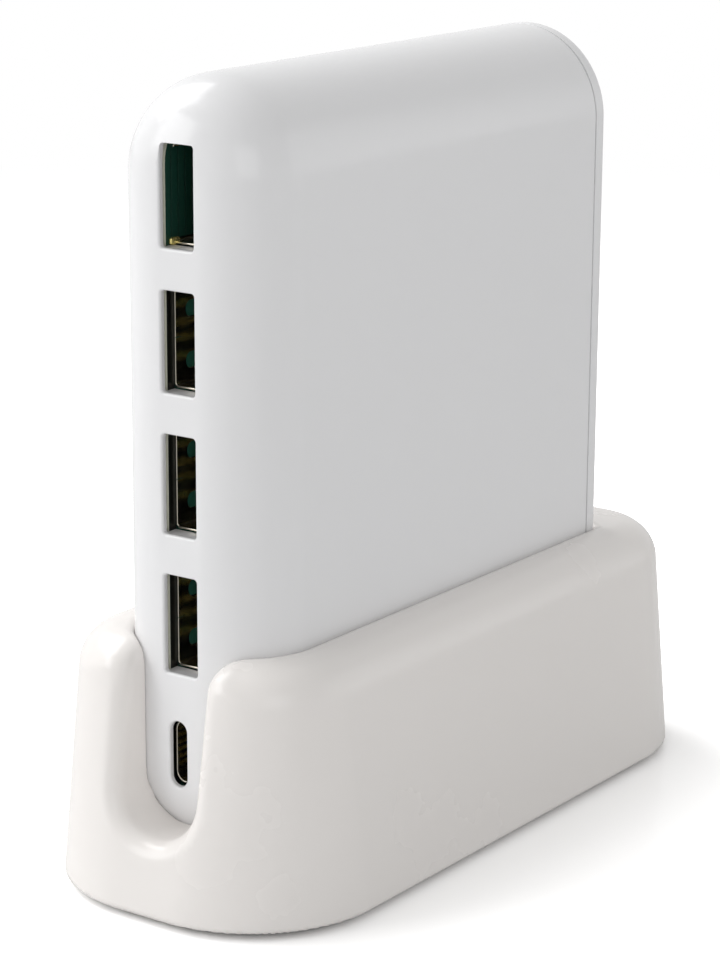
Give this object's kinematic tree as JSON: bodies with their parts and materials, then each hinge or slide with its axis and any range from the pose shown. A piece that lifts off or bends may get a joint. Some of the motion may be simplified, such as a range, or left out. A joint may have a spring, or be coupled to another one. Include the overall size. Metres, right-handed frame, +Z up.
{
  "type": "usb charger",
  "caption": "Slim white desk charger with stacked USB sockets, standing on edge in a moulded stand whose front notch leaves the lowest socket free.",
  "frame": {"origin": "middle of the footprint, on the surface that the feet stand on", "axes": "+X across the thickness to the right as one faces the sockets, +Y from the socket face to the rear, +Z up"},
  "size_m": [0.047, 0.111, 0.11],
  "materials": {
    "case_shell": "polished white moulding, slightly cool",
    "stand_shell": "polished white moulding, slightly warm",
    "base_plate": "fine spark texture",
    "rubber": "matt rubber",
    "screw": "zinc plated",
    "inlet_black": "matt black moulding",
    "pin_metal": "nickel plated",
    "socket_metal": "nickel plated sheet",
    "socket_black": "black moulding",
    "gold": "gilt contact",
    "board_green": "green solder mask",
    "sheet_plastic": "thin insulating film",
    "ferrite": "sintered ferrite",
    "tape_yellow": "yellow tape",
    "component_black": "black epoxy moulding",
    "capacitor_sleeve": "dark shrink sleeve",
    "copper_wire": "enamelled copper wire",
    "aluminium": "mill finish"
  },
  "bodies": {
    "root": {"case_body": "case_shell", "rear_cover": "case_shell", "inlet_moulding": "inlet_black", "inlet_pins": "pin_metal", "main_board": "board_green", "insulating_sheet": "sheet_plastic", "usb_a_shell_1": "socket_metal", "usb_a_shell_2": "socket_metal", "usb_a_shell_3": "socket_metal", "usb_a_shell_4": "socket_metal", "usb_a_tongue_1": "socket_black", "usb_a_tongue_2": "socket_black", "usb_a_tongue_3": "socket_black", "usb_a_tongue_4": "socket_black", "usb_a_contacts_1": "gold", "usb_a_contacts_2": "gold", "usb_a_contacts_3": "gold", "usb_a_contacts_4": "gold", "usb_c_shell": "socket_metal", "usb_c_tongue": "socket_black", "usb_c_contacts": "gold", "transformer_core": "ferrite", "transformer_bobbin": "component_black", "transformer_winding": "tape_yellow", "storage_capacitor_1": "capacitor_sleeve", "storage_capacitor_2": "capacitor_sleeve", "filter_capacitor": "tape_yellow", "choke_core": "ferrite", "choke_winding_1": "copper_wire", "choke_winding_2": "copper_wire", "fuse": "component_black", "bridge_rectifier": "component_black", "switching_transistor": "component_black", "heat_sink": "aluminium", "output_capacitor_1": "capacitor_sleeve", "output_capacitor_2": "capacitor_sleeve", "port_coil_1": "component_black", "port_coil_2": "component_black", "port_coil_3": "component_black", "port_coil_4": "component_black", "port_coil_5": "component_black", "control_chips": "component_black", "stand": "stand_shell", "base_plate": "base_plate", "base_screws": "screw", "foot_1": "rubber", "foot_2": "rubber", "foot_3": "rubber", "foot_4": "rubber"}
  },
  "joints": []
}
